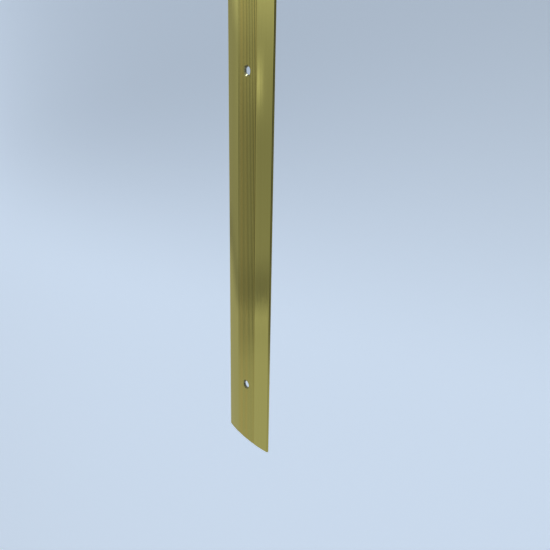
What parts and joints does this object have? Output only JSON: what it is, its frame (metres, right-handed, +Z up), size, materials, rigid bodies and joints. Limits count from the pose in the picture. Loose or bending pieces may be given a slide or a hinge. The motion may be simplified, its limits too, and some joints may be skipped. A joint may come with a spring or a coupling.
{
  "type": "threshold strip",
  "caption": "Shallow arched aluminium threshold strip, gold anodised, with a finely grooved crown between plain flanges and a row of countersunk screw holes.",
  "frame": {"origin": "middle of the underside, on the floor plane that the two feet rest on", "axes": "+X along the strip's length, +Z up out of the floor, +Y across the doorway"},
  "size_m": [0.9, 0.03, 0.0024],
  "materials": {
    "gold_anodised_aluminium": "satin gold anodised, with fine die lines along its length; paler in the countersinks, and bare metal in the drilled bores and on the cut ends"
  },
  "bodies": {
    "root": {"threshold_strip": "gold_anodised_aluminium"}
  },
  "joints": []
}
